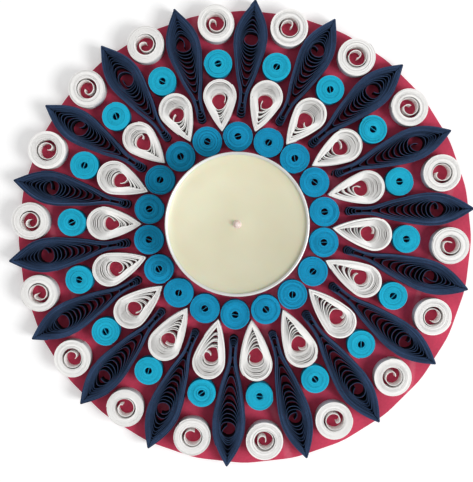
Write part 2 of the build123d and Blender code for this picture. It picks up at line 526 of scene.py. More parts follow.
def turn_form(name: str, centre: Vector, rings: list[tuple[float, float]], sides: int) -> Object:
    """Model a turned form from a filled circle that is extruded and scaled ring by ring.

    Args:
        name: the form's name.
        centre: where its axis meets height 0.
        rings: radius and height of each ring, from underneath to where the form closes.
        sides: facets round the form.

    Returns:
        The form, closed at both ends.
    """
    bpy.ops.object.select_all(action="DESELECT")
    radius, height = rings[0]
    start = centre + Vector((0, 0, height))
    bpy.ops.mesh.primitive_circle_add(vertices=sides, radius=radius, fill_type="NGON", location=start)
    form = bpy.context.object
    form.name = form.data.name = name
    bpy.ops.object.mode_set(mode="EDIT")
    bpy.ops.mesh.select_all(action="SELECT")
    for next_radius, next_height in rings[1:]:
        bpy.ops.mesh.extrude_region_move(TRANSFORM_OT_translate={"value": (0, 0, next_height - height)})
        scale = next_radius / radius
        middle = centre + Vector((0, 0, next_height))
        bpy.ops.transform.resize(value=(scale, scale, 1), center_override=middle)
        radius, height = next_radius, next_height
    bpy.ops.mesh.select_all(action="SELECT")
    bpy.ops.mesh.normals_make_consistent(inside=False)
    bpy.ops.object.mode_set(mode="OBJECT")
    bpy.ops.object.transform_apply(location=True, rotation=True, scale=True)
    return form


# Layout


def direction(angle: float) -> Vector:
    """Return the direction on the card at this angle, in radians."""
    return Vector((math.cos(angle), math.sin(angle)))


@dataclass(frozen=True)
class Layout:
    """Where every row and ring of pieces lies on the card: the CAD's own rule and sizes.

    Attributes:
        pieces_per_ring: rows of teardrops, and as many rows of leaves between them.
        row_angle: where the first row of leaves points.
        row_offset: how far beside the rings' middle each row's line passes.
        ring_centre: the middle of the innermost ring.
        ring_drift: how much further off a ring lies for each metre of its radius.
        cup_radius: the tealight's radius.
        candle_slide: how far the tealight stands from the middle of the innermost ring.
        candle_gap: between the tealight and the inner coils.
        coil_gap: between two inner coils.
        point_gap: between a teardrop's point and the inner coils beside it.
        touch_gap: between a teardrop's round end and its outer coil.
        side_gap: between a leaf and the teardrops and outer coils beside it.
        shoulder_gap: between a leaf and the rim coils beside it.
        tail_gap: between a leaf's tail and the ring of inner coils.
        rim_gap: between an outer coil and its rim coil.
        drop_length: a teardrop's length.
        leaf_overhang: how far a leaf's tip reaches past the middles of the rim coils.
        leaf_waist_width: a leaf's width between two teardrops.
        outer_coil_radius: an outer coil's radius.
        rim_coil_radius: a rim coil's radius.
    """

    pieces_per_ring: int = 18
    row_angle: float = math.radians(4.84)
    row_offset: float = 1.8 * MM
    ring_centre: Vector = Vector((-2.2, 3.5)) * MM
    ring_drift: Vector = Vector((0.03, -0.064))
    cup_radius: float = 19 * MM
    candle_slide: Vector = Vector((0.2, 0.5)) * MM
    candle_gap: float = 1.1 * MM
    coil_gap: float = 0.16 * MM
    point_gap: float = 0.56 * MM
    touch_gap: float = 0.1 * MM
    side_gap: float = 0.34 * MM
    shoulder_gap: float = 0.87 * MM
    tail_gap: float = 1.5 * MM
    rim_gap: float = 2.6 * MM
    drop_length: float = 15.7 * MM
    leaf_overhang: float = 6.55 * MM
    leaf_waist_width: float = 2.75 * MM
    outer_coil_radius: float = 3.9 * MM
    rim_coil_radius: float = 5.2 * MM

    @property
    def half_pitch(self) -> float:
        """Half the room of one piece in a ring, for each metre of radius."""
        return math.sin(math.pi / self.pieces_per_ring)

    @property
    def inner_ring(self) -> float:
        """Radius of the ring of coils round the candle."""
        return (self.cup_radius + self.candle_gap - self.coil_gap / 2) / (1 - self.half_pitch)

    @property
    def inner_coil_radius(self) -> float:
        """Radius of one of those coils."""
        return self.inner_ring * self.half_pitch - self.coil_gap / 2

    @property
    def drop_points(self) -> float:
        """Radius at which the teardrops' points lie, in the valleys between the inner coils."""
        valley = (self.inner_coil_radius + self.point_gap) ** 2 - (self.inner_ring * self.half_pitch) ** 2
        return self.inner_ring * math.cos(math.pi / self.pieces_per_ring) + math.sqrt(valley)

    @property
    def drop_width(self) -> float:
        """Width of a teardrop, which swells until it lies against the leaves."""
        room = (self.drop_points + self.drop_length) * self.half_pitch - self.side_gap
        return (2 * room - self.leaf_waist_width) / (1 + self.half_pitch)

    @property
    def waist(self) -> float:
        """Radius at which the teardrops are widest and the leaves narrowest."""
        return self.drop_points + self.drop_length - self.drop_width / 2

    @property
    def outer_ring(self) -> float:
        """Radius of the ring of coils at the teardrops' round ends."""
        return self.drop_points + self.drop_length + self.touch_gap + self.outer_coil_radius

    @property
    def rim_ring(self) -> float:
        """Radius of the ring of white coils at the rim."""
        return self.outer_ring + self.outer_coil_radius + self.rim_gap + self.rim_coil_radius

    @property
    def leaf_tails(self) -> float:
        """Radius at which the leaves' tails end."""
        return self.inner_ring + self.inner_coil_radius + self.tail_gap

    @property
    def leaf_tips(self) -> float:
        """Radius at which the leaves' tips lie."""
        return self.rim_ring + self.leaf_overhang

    def spot(self, radius: float, slot: float) -> Vector:
        """Find a place on the card.

        Args:
            radius: distance from the middle of the rings.
            slot: the row, whole for the leaves and half for the teardrops.

        Returns:
            The place.
        """
        angle = self.row_angle + TURN * slot / self.pieces_per_ring + math.asin(self.row_offset / radius)
        middle = self.ring_centre + self.ring_drift * (radius - self.inner_ring)
        return middle + direction(angle) * radius


# Winding


class Seed(IntEnum):
    """Where chance starts for each kind of piece: first for its shape, then for the winding of its strip."""

    DROP_SHAPE = 100
    DROP_WINDING = 200
    RIM_SHAPE = 300
    RIM_WINDING = 320
    LEAF_SHAPE = 400
    LEAF_WINDING = 440


@dataclass(kw_only=True)
class WoundPiece(ABC):
    """A strip of paper wound outward from a bent inner end.

    Attributes:
        loose_turns: turns with room between them, round the eye.
        tight_turns: outer turns that are pressed together.
        steps: facets in one turn.
        seed: what this piece's chance starts from.
        start: where on the eye the inner end is bent, in turns from the piece's far end.
        flap_length: how long the bent inner end is.
        flap_crease: how sharply it is creased, in degrees.
        flap_curl: how far it curls on from there, in degrees.
        flap_steps: facets of the bent end.
        height: the strip's width, as it stands.
        base: the height of the card's top.
        thickness: the paper's thickness.
        pitch: the room that one pressed turn takes, on average.
        unevenness: how much lower than the highest turn the others may stand.
        draw: the piece's own source of chance.
        depths: how far inside the outermost turn each pressed turn lies.
    """

    loose_turns: int = 0
    tight_turns: int
    steps: int = 40
    seed: int
    start: float = 0.0
    flap_length: float
    flap_crease: float
    flap_curl: float
    flap_steps: int = 6
    height: float = 5 * MM
    base: float = 1.6 * MM
    thickness: float
    pitch: float
    unevenness: float = 0.2 * MM
    draw: random.Random = field(init=False)
    depths: np.ndarray = field(init=False)

    def __post_init__(self) -> None:
        """Start the piece's own source of chance, and draw how tightly each turn was pulled."""
        self.draw = random.Random(self.seed)
        # Most turns are pulled tight, and a few are slack
        slack = np.array([self.draw.random() ** 3 for _ in range(self.tight_turns)])
        pitches = self.thickness + slack * (self.band - self.tight_turns * self.thickness) / slack.sum()
        self.depths = self.band - np.concatenate([[0.0], np.cumsum(pitches)])

    @property
    def band(self) -> float:
        """Thickness of the pressed turns together."""
        return self.tight_turns * self.pitch

    def depth(self, turn: float) -> float:
        """Return how far inside the outermost turn this turn lies, held at the innermost pressed turn."""
        return float(np.interp(turn - self.loose_turns, np.arange(self.tight_turns + 1), self.depths))

    @abstractmethod
    def centre_line(self, turn: float, phase: float) -> Vector:
        """Find the middle of the strip.

        Args:
            turn: turns wound since the eye.
            phase: angle round the piece, in radians, 0 toward its far end.

        Returns:
            The place on the card, with the piece's axis along X.
        """

    def winding(self) -> list[Vector]:
        """Wind the strip from the eye outward.

        Returns:
            The points of its wound part.
        """
        first = round(self.start * self.steps)
        points = []
        for step in range((self.loose_turns + self.tight_turns) * self.steps + 1):
            phase = TURN * (first + step) / self.steps
            points.append(self.centre_line(step / self.steps, phase))
        return points

    def flap(self, winding: list[Vector]) -> list[Vector]:
        """Bend the strip's inner end into the eye.

        Args:
            winding: the wound part's points.

        Returns:
            The flap's points, from its free end to the crease.
        """
        heading = (winding[0] - winding[1]).normalized()
        bend = -math.radians(self.flap_crease)
        points = []
        place = winding[0]
        for _ in range(self.flap_steps):
            heading = Matrix.Rotation(bend, 2) @ heading
            place = place + heading * self.flap_length / self.flap_steps
            points.append(place)
            bend = -math.radians(self.flap_curl) / self.flap_steps
        return points[::-1]

    def wind(self, name: str, paint: Material, start: Vector, toward: Vector) -> Object:
        """Make the piece and set it in its row.

        Args:
            name: the piece's name.
            paint: its paper.
            start: where its axis starts.
            toward: a place that its axis points at.

        Returns:
            The finished piece.
        """
        axis = (toward - start).normalized()
        across = Vector((-axis.y, axis.x))
        winding = self.winding()
        flap = self.flap(winding)
        all_turns = self.loose_turns + self.tight_turns
        drops = [self.draw.uniform(0, self.unevenness) for _ in range(all_turns + 2)]
        line, tops, turns = [], [], []
        for number, point in enumerate(flap + winding):
            turn = max(number - len(flap), 0) / self.steps
            place = start + axis * point.x + across * point.y
            line.append(Vector((place.x, place.y, self.base)))
            tops.append(self.height - float(np.interp(turn, np.arange(len(drops)), drops)))
            turns.append(self.seed * PATTERN_TURNS + (number - len(flap)) / self.steps)
        piece = lay_strip(name, line, tops, turns, self.thickness)
        finish(piece, paint, smooth_angle=35)
        return piece


@dataclass(kw_only=True)
class RoundCoil(WoundPiece):
    """A round coil: loose turns in its hole, and tight turns outside.

    Attributes:
        radius: the coil's outer radius.
        eye_radius: the radius that its first turn is wound to.
        flatness: how much narrower the coil is one way, as a share of its radius.
        flat_side: twice the angle of that way, in radians.
    """

    radius: float
    eye_radius: float
    flatness: float
    flat_side: float = field(init=False)

    def __post_init__(self) -> None:
        """Draw which way the coil is a little flat."""
        super().__post_init__()
        self.flat_side = self.draw.uniform(0, TURN)

    def centre_line(self, turn: float, phase: float) -> Vector:
        """Find the middle of the strip.

        Args:
            turn: turns wound since the eye.
            phase: angle round the piece, in radians, 0 toward its far end.

        Returns:
            The place on the card, with the piece's axis along X.
        """
        reach = self.radius - self.thickness / 2 - self.depth(turn)
        if turn < self.loose_turns:
            reach -= (reach - self.eye_radius) * (1 - turn / self.loose_turns)
        reach *= 1 - self.flatness * (1 + math.cos(2 * phase - self.flat_side)) / 2
        return direction(phase) * reach


@dataclass(kw_only=True)
class ShapedCoil(WoundPiece):
    """A coil that was let loose and pinched: its inner turns pass from a round eye into the outline's shape.

    Attributes:
        length: the piece's length.
        eye: the middle of the eye.
        eye_radius: the eye's radius.
        lift: how far off the axis the turns bend back at the near end, as a share of the half width there.
        roundness: how round the loose turns' ends are; at 0 they would fill the outline's corners.
        slimming: how much narrower than its outline the piece is, as shares, on its right and its left side.
        near_shares: how much of the free room at the near end lies inside each loose turn.
        far_shares: the same at the far end.
        side_shares: the same at the sides.
    """

    length: float
    eye: Vector
    eye_radius: float
    lift: float
    roundness: float
    slimming: tuple[float, float]
    near_shares: np.ndarray = field(init=False)
    far_shares: np.ndarray = field(init=False)
    side_shares: np.ndarray = field(init=False)

    def __post_init__(self) -> None:
        """Draw how the free room between the loose turns is shared out at the piece's ends and sides."""
        super().__post_init__()
        self.near_shares = self.shares([self.near_gap(turn) for turn in range(self.loose_turns)])
        self.far_shares = self.shares([self.far_gap(turn) for turn in range(self.loose_turns)])
        self.side_shares = self.shares([self.far_gap(turn) for turn in range(self.loose_turns)])

    @abstractmethod
    def near_gap(self, turn: int) -> float:
        """Draw how wide the gap outside a loose turn is at the near end, against the others."""

    @abstractmethod
    def far_gap(self, turn: int) -> float:
        """Draw how wide the gap outside a loose turn is at the far end or a side, against the others."""

    @abstractmethod
    def ends(self, inset: float) -> tuple[float, float]:
        """Return where a loop that lies this far inside the outline crosses the axis: near end, far end."""

    @abstractmethod
    def half_width(self, x: float, inset: float) -> float:
        """Return how far a loop that lies this far inside the outline stands off the axis at x."""

    def shares(self, gaps: list[float]) -> np.ndarray:
        """Turn the gap outside each turn into the share of the room that lies inside each turn."""
        return np.concatenate([[0.0], np.cumsum(gaps) / sum(gaps)])

    def room_inside(self, turn: float, room: float, shares: np.ndarray) -> float:
        """Find how much of the room between the eye and the pressed turns lies inside a loose turn.

        Args:
            turn: turns wound since the eye.
            room: the whole room, at one end or side.
            shares: how its free part is shared out.

        Returns:
            The part of the room.
        """
        least = self.loose_turns * self.thickness
        taken = turn * self.thickness * min(1, room / least)
        return taken + max(room - least, 0) * float(np.interp(turn, np.arange(self.loose_turns + 1), shares))

    def wall(self, x: float, inset: float, side: int) -> float:
        """Return y of a loop this far inside the outline, on the left side (1) or the right side (-1)."""
        return side * (1 - self.slimming[side > 0]) * self.half_width(x, inset)

    def centre_line(self, turn: float, phase: float) -> Vector:
        """Find the middle of the strip.

        Args:
            turn: turns wound since the eye.
            phase: angle round the piece, in radians, 0 toward its far end.

        Returns:
            The place on the card, with the piece's axis along X.
        """
        inset = self.thickness / 2 + self.depth(turn)
        side = 1 if math.sin(phase) > 0 else -1
        at_far_end = math.cos(phase) > 0
        near, far = self.ends(inset)
        room = (far if at_far_end else 2 * self.eye.x - near) - self.eye.x
        if turn < self.loose_turns:
            return self.loose_place(turn, phase, inset, room)
        x = self.eye.x + room * math.cos(phase)
        return Vector((x, self.wall(x, inset, side) if abs(math.sin(phase)) > ON_AXIS else 0))

    def loose_place(self, turn: float, phase: float, inset: float, room: float) -> Vector:
        """Find the middle of a loose turn, which passes from the eye's circle into the outline's shape.

        Args:
            turn: turns wound since the eye.
            phase: angle round the piece, in radians, 0 toward its far end.
            inset: how far inside the outline the innermost pressed turn lies.
            room: how far that turn lies from the middle of the eye, at this end of the piece.

        Returns:
            The place on the card, with the piece's axis along X.
        """
        side = 1 if math.sin(phase) > 0 else -1
        at_far_end = math.cos(phase) > 0
        shares = self.far_shares if at_far_end else self.near_shares
        inside = self.room_inside(turn, room - self.eye_radius, shares)
        x = self.eye.x + (self.eye_radius + inside) * math.cos(phase)
        side_room = abs(self.wall(self.eye.x, inset, side)) - self.eye_radius - side * self.eye.y
        pressed = (self.loose_turns - turn) * min(self.thickness, side_room / self.loose_turns)
        spread = side_room - self.room_inside(turn, side_room, self.side_shares) - pressed
        inset += pressed + spread * (1 if at_far_end else math.sin(phase) ** 2)
        bend = 0.0 if at_far_end else self.lift * self.wall(self.eye.x - self.eye_radius - inside, inset, 1)
        bow = abs(math.sin(phase)) ** (self.roundness * math.sqrt(1 - inside / (room - self.eye_radius)))
        place = Vector((x, bend + (self.wall(x, inset, side) - bend) * bow))
        start = self.eye + direction(phase) * self.eye_radius
        return start.lerp(place, min(turn, 1))


@dataclass(kw_only=True)
class Teardrop(ShapedCoil):
    """A coil pinched at one end.

    Attributes:
        width: the width of its round end.
        flank_radius: radius of its gently curved flanks.
        open_gaps: the least and the most of the open gaps toward its point.
        cling_gaps: what the gaps there are between turns that cling together.
        round_gaps: what the gaps toward its round end and its sides are.
    """

    width: float
    flank_radius: float = 28 * MM
    open_gaps: tuple[float, float] = (0.6, 1.5)
    cling_gaps: tuple[float, ...] = (0.01, 0.03, 0.06)
    round_gaps: tuple[float, ...] = (0.1, 0.3, 0.6, 1.0)

    def near_gap(self, turn: int) -> float:
        """Draw a gap: see ShapedCoil. The turns cling together in twos and threes."""
        return self.draw.uniform(*self.open_gaps) if turn % 5 in (0, 2) else self.draw.choice(self.cling_gaps)

    def far_gap(self, turn: int) -> float:
        """Draw a gap: see ShapedCoil."""
        return self.draw.choice(self.round_gaps)

    def flank_centre(self) -> Vector:
        """Find the centre of the upper flank's arc, which runs on into the round end.

        Returns:
            The centre.
        """
        end_radius = self.width / 2
        to_end = self.length - end_radius
        gap = self.flank_radius - end_radius
        along = (to_end**2 + self.flank_radius**2 - gap**2) / (2 * to_end)
        return Vector((along, -math.sqrt(self.flank_radius**2 - along**2)))

    def ends(self, inset: float) -> tuple[float, float]:
        """Return where the loop crosses the axis: see ShapedCoil."""
        centre = self.flank_centre()
        return centre.x - math.sqrt((self.flank_radius - inset) ** 2 - centre.y**2), self.length - inset

    def half_width(self, x: float, inset: float) -> float:
        """Find how far a loop stands off the axis.

        Args:
            x: a place along the axis.
            inset: how far inside the outline the loop lies.

        Returns:
            The distance there.
        """
        centre = self.flank_centre()
        end = Vector((self.length - self.width / 2, 0))
        shoulder = centre + (end - centre).normalized() * (self.flank_radius - inset)
        if x < shoulder.x:
            return max(centre.y + math.sqrt((self.flank_radius - inset) ** 2 - (x - centre.x) ** 2), 0)
        return math.sqrt(max((self.width / 2 - inset) ** 2 - (x - end.x) ** 2, 0))


@dataclass(kw_only=True)
class Leaf(ShapedCoil):
    """A coil drawn out into a long tail at one end and pinched to a tip at the other.

    Attributes:
        side: x and half width of the points that its side is drawn through, from tail to tip.
        tip_angle: how steeply its side falls at the tip, in degrees.
        tip_rounding: how much the turns' creases at the tip are rounded.
        tail_radius: radius of its round tail.
        tail_layers: thickness of the outer turns that run into the tail's end.
        tail_bends: where the innermost of those turns bends back, and the innermost pressed turn.
        crease_radius: how sharply the innermost pressed turn bends back.
        opening: how far the turns spread from there, sideways per length.
        first_gap: the innermost gap toward the tail; each next one is wider by 1.
        gap_spread: the least and the most that these gaps are multiplied by.
        tip_gaps: what the gaps toward the tip and the sides are.
        close_gap: what the last of those gaps are.
        close_turns: how many they are.
        slopes: the side's slope at each of its points.
    """

    side: tuple[tuple[float, float], ...]
    tip_angle: float = 38.0
    tip_rounding: float = 0.3 * MM
    tail_radius: float = 1.1 * MM
    tail_layers: float = 0.75 * MM
    tail_bends: tuple[float, float] = (3.4 * MM, 8.0 * MM)
    crease_radius: float = 0.12 * MM
    opening: float = 0.35
    first_gap: float = 3.0
    gap_spread: tuple[float, float] = (0.8, 1.2)
    tip_gaps: tuple[float, ...] = (0.6, 1.0, 1.5)
    close_gap: float = 0.4
    close_turns: int = 3
    slopes: np.ndarray = field(init=False)

    def __post_init__(self) -> None:
        """Work out the smooth curve through the side's points."""
        super().__post_init__()
        self.slopes = self.smooth_side()

    @property
    def tail_insets(self) -> Triple:
        """How far inside the outline the tail's turns lie: outermost, last at its end, innermost pressed."""
        return 0, self.tail_layers, self.thickness / 2 + self.band

    def near_gap(self, turn: int) -> float:
        """Draw a gap: see ShapedCoil. The gaps widen toward the tail."""
        return (self.first_gap + turn) * self.draw.uniform(*self.gap_spread)

    def far_gap(self, turn: int) -> float:
        """Draw a gap: see ShapedCoil. The last turns lie closer, as the tip stands out past the card."""
        last = turn >= self.loose_turns - self.close_turns
        return self.close_gap if last else self.draw.choice(self.tip_gaps)

    def smooth_side(self) -> np.ndarray:
        """Draw a cubic curve through the side's points that bends evenly.

        Returns:
            Its slope at each point.
        """
        xs, ys = np.array(self.side).T
        count = len(xs)
        system, aim = np.zeros((count, count)), np.zeros(count)
        system[0, 0] = system[-1, -1] = 1
        aim[-1] = -math.tan(math.radians(self.tip_angle))
        for row in range(1, count - 1):
            before, after = xs[row] - xs[row - 1], xs[row + 1] - xs[row]
            system[row, row - 1 : row + 2] = 1 / before, 2 / before + 2 / after, 1 / after
            rise_before, rise_after = ys[row] - ys[row - 1], ys[row + 1] - ys[row]
            aim[row] = 3 * (rise_before / before**2 + rise_after / after**2)
        return np.linalg.solve(system, aim)

    def outline(self, x: float) -> tuple[float, float]:
        """Find the outline's side.

        Args:
            x: a place along the axis, between tail and tip.

        Returns:
            The half width there, and the side's slope.
        """
        xs, ys = np.array(self.side).T
        span = int(np.clip(np.searchsorted(xs, x) - 1, 0, len(xs) - 2))
        width = xs[span + 1] - xs[span]
        share = min(max((x - xs[span]) / width, 0), 1)
        rise = (ys[span + 1] - ys[span]) / width
        start, end = self.slopes[span] - rise, rise - self.slopes[span + 1]
        bend = start * (1 - share) + end * share
        height = ys[span] + rise * width * share + width * share * (1 - share) * bend
        slope = rise + (1 - 2 * share) * bend + share * (1 - share) * (end - start)
        return height, slope

    def ends(self, inset: float) -> tuple[float, float]:
        """Return where the loop crosses the axis: see ShapedCoil."""
        near = float(np.interp(inset, self.tail_insets, (0, *self.tail_bends)))
        return near, self.length - inset / math.sin(math.radians(self.tip_angle))

    def half_width(self, x: float, inset: float) -> float:
        """Find how far a loop stands off the axis.

        Args:
            x: a place along the axis.
            inset: how far inside the outline the loop lies.

        Returns:
            The distance there.
        """
        near, far = self.ends(inset)
        height, slope = self.outline(x)
        width = max(height - inset * math.hypot(1, slope), 0)
        width = math.hypot(width, math.tan(math.radians(self.tip_angle)) * self.rounding(far - x))
        radii = (self.tail_radius, self.tail_radius / 2, self.crease_radius)
        bend = float(np.interp(inset, self.tail_insets, radii))
        run = max(x - near, 0)
        return min(width, math.sqrt(2 * bend * run + (self.opening * run) ** 2))

    def rounding(self, to_tip: float) -> float:
        """Return how much the crease at the tip widens the loop this far from the crease."""
        fade = math.exp(-to_tip / (4 * self.tip_rounding))
        return math.sqrt(max(2 * self.tip_rounding * to_tip, 0)) * fade


# Sub-assemblies


@dataclass
class TightCoilRing:
    """A ring of small tight coils, all in one CAD node.

    Attributes:
        layout: where the rings lie.
        node: the CAD node that the ring stands for.
        ring: the ring's radius.
        coil_radius: one coil's radius.
        first_slot: the row of the first coil.
        paper: the finish of its strips.
        thickness: thickness of its strips.
        bore_radius: radius of the hole that the slotted tool leaves.
        bar_length: length of the strip's end across the hole, in radii of the hole.
        bar_turn: angle between one coil's strip end and the next one's, in degrees.
        tight_pitch: about the room that one turn takes.
    """

    layout: Layout
    node: str
    ring: float
    coil_radius: float
    first_slot: float
    paper: PaperFinish
    thickness: float = 0.13 * MM
    bore_radius: float = 0.95 * MM
    bar_length: float = 1.9
    bar_turn: float = 137.5
    tight_pitch: float = 0.155 * MM

    def build(self) -> None:
        """Wind the ring's coils and set them down."""
        paint = self.paper.material()
        coils = []
        for number in range(self.layout.pieces_per_ring):
            coil = self.coil(number)
            centre = self.layout.spot(self.ring, self.first_slot + number)
            toward = centre + direction(math.radians(self.bar_turn * number))
            coils.append(coil.wind(f"coil_{number}", paint, centre, toward))
        adopt(join(self.node + "_wound", coils), self.node)

    def coil(self, number: int) -> RoundCoil:
        """Describe one of the coils.

        Args:
            number: its number in the ring.

        Returns:
            The coil.
        """
        room = self.coil_radius - self.bore_radius - self.thickness / 2
        turns = round(room / self.tight_pitch)
        return RoundCoil(
            tight_turns=turns,
            steps=32,
            seed=number + round(self.ring / MM),  # so the two rings' seeds don't meet
            thickness=self.thickness,
            pitch=room / turns,
            flap_length=self.bar_length * self.bore_radius,
            flap_crease=90,
            flap_curl=0,
            flap_steps=1,
            radius=self.coil_radius,
            eye_radius=self.bore_radius,
            flatness=0.015,
        )


@dataclass
class ShapedRings:
    """The teardrops, the white rim coils and the leaves, each a piece of its own.

    Attributes:
        layout: where the rings lie.
        drop_eye_shift: from the middle of a teardrop's round end to its eye.
        leaf_eye_shift: from a leaf's belly to its eye.
        leaf_belly_to_tip: from a leaf's widest place to its tip.
        leaf_width: a leaf's greatest width.
        leaf_flare_width: its width midway between its waist and the tight coils.
        leaf_tail_radius: radius of its round tail.
        leaf_tail_reach: how much further in than the drawn outline its loose tail reaches.
        white_thickness: thickness of the white strips, which are heavier than the coloured ones.
        white_pitch: the room that one of their pressed turns takes.
        navy_thickness: thickness of the navy strips.
        navy_pitch: the room that one of their pressed turns takes.
    """

    layout: Layout
    drop_eye_shift: float = 1.6 * MM
    leaf_eye_shift: float = 1.6 * MM
    leaf_belly_to_tip: float = 12.3 * MM
    leaf_width: float = 9.5 * MM
    leaf_flare_width: float = 5.4 * MM
    leaf_tail_radius: float = 1.3 * MM
    leaf_tail_reach: float = 0.6 * MM
    white_thickness: float = 0.13 * MM
    white_pitch: float = 0.16 * MM
    navy_thickness: float = 0.11 * MM
    navy_pitch: float = 0.15 * MM

    def build(self) -> None:
        """Wind all the pieces."""
        layout = self.layout
        white, navy = WHITE_PAPER.material(), NAVY_PAPER.material()
        for number in range(layout.pieces_per_ring):
            tag = f"{number + 1:02d}"
            point = layout.spot(layout.drop_points, number + 0.5)
            stop = layout.spot(layout.outer_ring, number + 0.5)
            drop = self.teardrop(number, (stop - point).length - layout.outer_coil_radius - layout.touch_gap)
            piece = drop.wind(f"wound_teardrop_{tag}", white, point, stop)
            adopt(piece, f"white_teardrop_{tag}")

            centre = layout.spot(layout.rim_ring, number + 0.5)
            outward = centre + (centre - layout.ring_centre)
            piece = self.rim_coil(number).wind(f"wound_rim_coil_{tag}", white, centre, outward)
            adopt(piece, f"white_rim_coil_{tag}")

            tail = layout.spot(layout.leaf_tails - self.leaf_tail_reach, number)
            tip = layout.spot(layout.leaf_tips, number)
            piece = self.leaf(number, (tip - tail).length).wind(f"wound_leaf_{tag}", navy, tail, tip)
            adopt(piece, f"navy_leaf_{tag}")

    def teardrop(self, number: int, length: float) -> Teardrop:
        """Describe a teardrop.

        Args:
            number: its number in the ring.
            length: its length.

        Returns:
            The teardrop.
        """
        draw = random.Random(Seed.DROP_SHAPE + number)
        width = self.layout.drop_width
        eye_x = length - width / 2 - self.drop_eye_shift + draw.uniform(-0.4, 0.4) * MM
        return Teardrop(
            loose_turns=10,
            tight_turns=5,
            steps=48,
            seed=Seed.DROP_WINDING + number,
            thickness=self.white_thickness,
            pitch=self.white_pitch,
            start=draw.random(),
            flap_length=draw.uniform(1.4, 2.4) * MM,
            flap_crease=draw.uniform(20, 60),
            flap_curl=draw.uniform(40, 100),
            length=length,
            width=width,
            eye=Vector((eye_x, draw.uniform(-0.1, 0.4) * MM)),
            eye_radius=draw.uniform(2.0, 2.2) * MM,
            lift=draw.uniform(0.85, 0.98),
            roundness=draw.uniform(0.8, 1.0),
            slimming=(draw.uniform(0, 0.05), draw.uniform(0, 0.05)),
        )

    def rim_coil(self, number: int) -> RoundCoil:
        """Describe a rim coil.

        Args:
            number: its number in the ring.

        Returns:
            The coil.
        """
        draw = random.Random(Seed.RIM_SHAPE + number)
        return RoundCoil(
            loose_turns=1,
            tight_turns=14,
            seed=Seed.RIM_WINDING + number,
            thickness=self.white_thickness,
            pitch=self.white_pitch,
            start=draw.random(),
            flap_length=draw.uniform(1.5, 2.6) * MM,
            flap_crease=draw.uniform(10, 50),
            flap_curl=draw.uniform(70, 150),
            radius=self.layout.rim_coil_radius,
            eye_radius=draw.uniform(1.55, 2.0) * MM,
            flatness=draw.uniform(0.0, 0.04),
        )

    def leaf(self, number: int, length: float) -> Leaf:
        """Describe a leaf, whose side passes between the teardrops, the outer coils and the rim coils.

        Args:
            number: its number in the ring.
            length: its length.

        Returns:
            The leaf.
        """
        draw = random.Random(Seed.LEAF_SHAPE + number)
        layout = self.layout
        tails = layout.leaf_tails - self.leaf_tail_reach
        stretch = length / (layout.leaf_tips - tails)
        flare = (layout.waist + layout.outer_ring) / 2
        pinch = layout.outer_ring * layout.half_pitch - layout.side_gap - layout.outer_coil_radius
        shoulder = layout.rim_ring * layout.half_pitch - layout.shoulder_gap - layout.rim_coil_radius
        belly = length - self.leaf_belly_to_tip
        side = (
            (self.leaf_tail_radius, self.leaf_tail_radius),
            ((layout.waist - tails) * stretch, layout.leaf_waist_width / 2),
            ((flare - tails) * stretch, self.leaf_flare_width / 2),
            ((layout.outer_ring - tails) * stretch, pinch),
            (belly, self.leaf_width / 2),
            ((layout.rim_ring - tails) * stretch, shoulder),
            (length, 0.0),
        )
        return Leaf(
            loose_turns=9,
            tight_turns=6,
            steps=56,
            seed=Seed.LEAF_WINDING + number,
            thickness=self.navy_thickness,
            pitch=self.navy_pitch,
            start=draw.random(),
            flap_length=draw.uniform(1.8, 3.2) * MM,
            flap_crease=draw.uniform(20, 70),
            flap_curl=draw.uniform(40, 100),
            length=length,
            eye=Vector((
                belly + self.leaf_eye_shift + draw.uniform(-1.2, 1.2) * MM,
                draw.uniform(-0.3, 0.3) * MM,
            )),
            eye_radius=draw.uniform(1.8, 2.1) * MM,
            lift=draw.uniform(-0.2, 0.2),
            roundness=draw.uniform(0.85, 1.0),
            slimming=(draw.uniform(0, 0.06), draw.uniform(0, 0.06)),
            side=side,
        )


